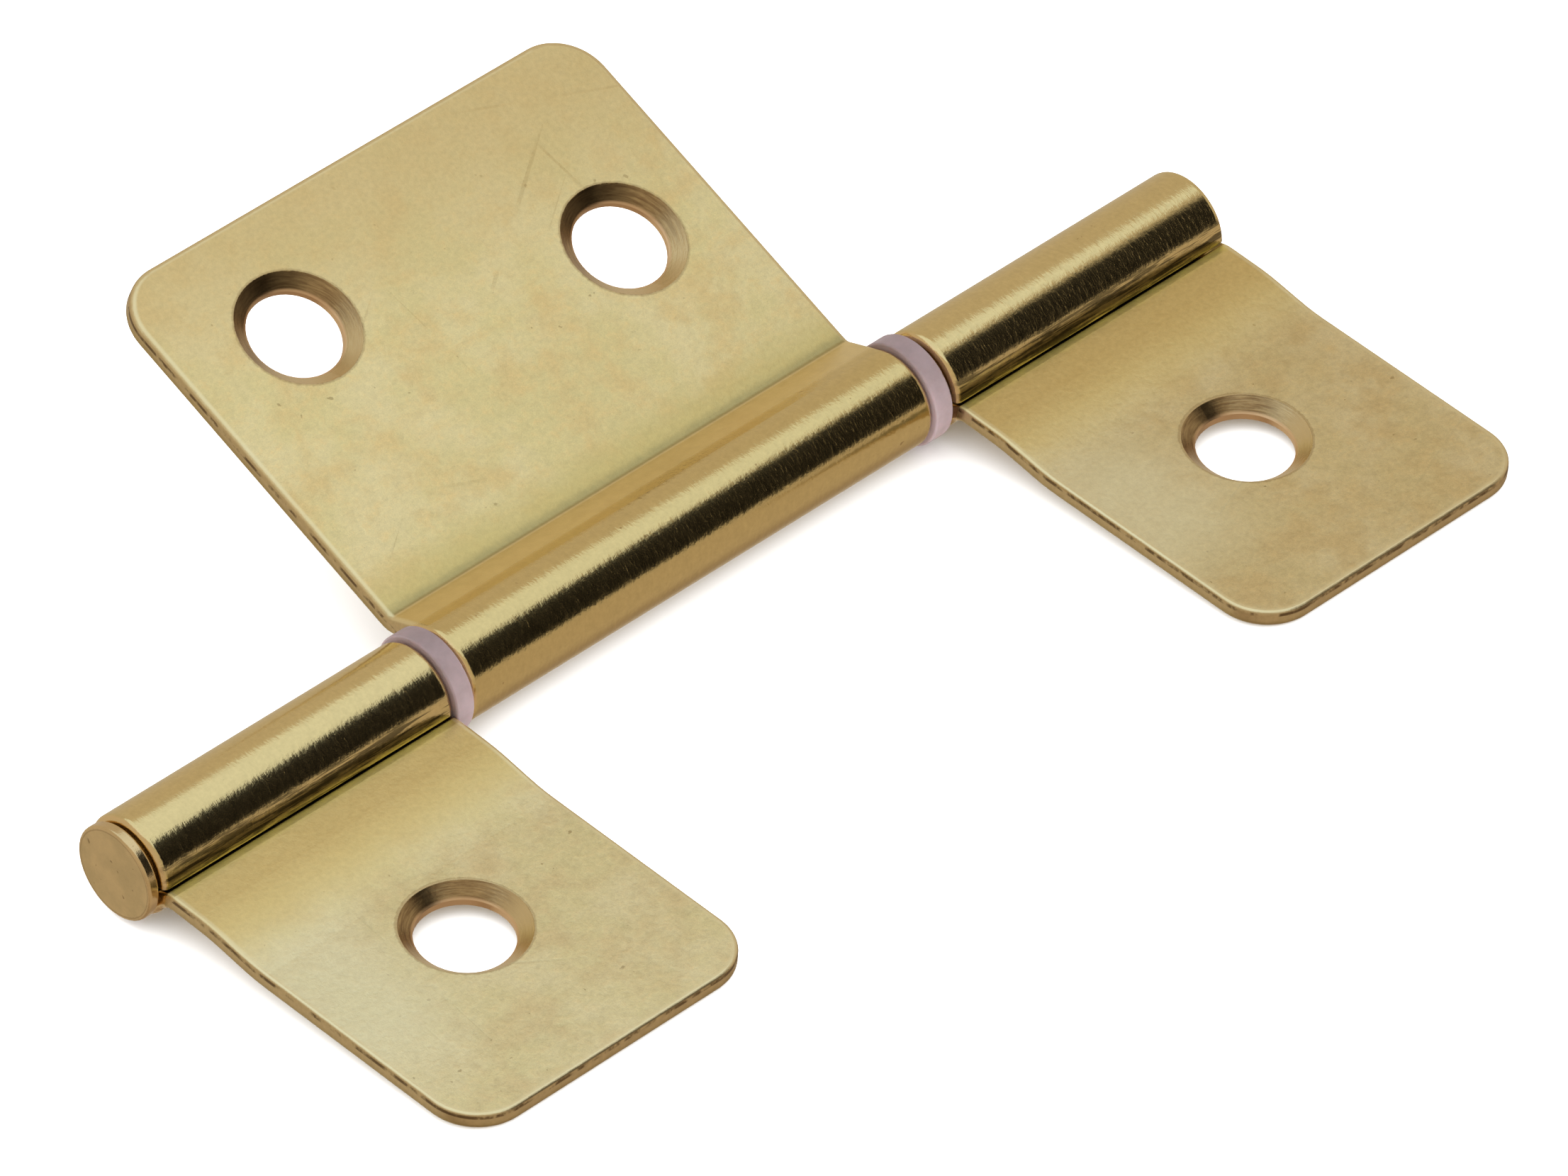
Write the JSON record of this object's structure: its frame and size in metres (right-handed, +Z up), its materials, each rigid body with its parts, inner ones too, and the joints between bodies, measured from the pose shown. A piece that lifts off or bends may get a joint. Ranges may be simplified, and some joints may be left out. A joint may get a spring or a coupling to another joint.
{
  "type": "door hinge",
  "caption": "Brass-plated surface door hinge: one wide leaf and separate narrow leaves on a headed pin, with nylon washers between the knuckles.",
  "frame": {"origin": "under the middle of the hinge, on the surface that it stands on", "axes": "+X along the pin, away from its head; +Y towards the large leaf; +Z up out of the leaves' countersunk faces"},
  "size_m": [0.0758, 0.0493, 0.0139],
  "materials": {
    "large_leaf_brass": "satin brass plating on pressed steel, with fine mottling",
    "small_leaf_brass": "satin brass plating on pressed steel, with fine mottling",
    "pin_brass": "satin brass plating on steel, flat round head",
    "nylon": "natural nylon, pale lilac grey, matt"
  },
  "bodies": {
    "large_leaf_and_pin": {"large_leaf": "large_leaf_brass", "pin": "pin_brass"},
    "small_leaf_head_end": {"small_leaf_head_end": "small_leaf_brass"},
    "small_leaf_far_end": {"small_leaf_far_end": "small_leaf_brass"},
    "washer_head_end": {"washer_head_end": "nylon"},
    "washer_far_end": {"washer_far_end": "nylon"}
  },
  "joints": [
    {"name": "small_leaf_head_end_swing", "type": "hinge", "parent": "large_leaf_and_pin", "child": "small_leaf_head_end", "pos_m": [-0.02722, 0.00022, 0.00296], "axis": [-1, 0, 0], "range_deg": [-109.6, 160.4]},
    {"name": "small_leaf_far_end_swing", "type": "hinge", "parent": "large_leaf_and_pin", "child": "small_leaf_far_end", "pos_m": [0.02807, 0.00022, 0.00296], "axis": [-1, 0, 0], "range_deg": [-109.6, 160.4]},
    {"name": "washer_head_end_spin", "type": "hinge", "parent": "large_leaf_and_pin", "child": "washer_head_end", "pos_m": [-0.01672, 0.00022, 0.00296], "axis": [1, 0, 0], "continuous": true},
    {"name": "washer_far_end_spin", "type": "hinge", "parent": "large_leaf_and_pin", "child": "washer_far_end", "pos_m": [0.01718, 0.00022, 0.00296], "axis": [1, 0, 0], "continuous": true}
  ]
}
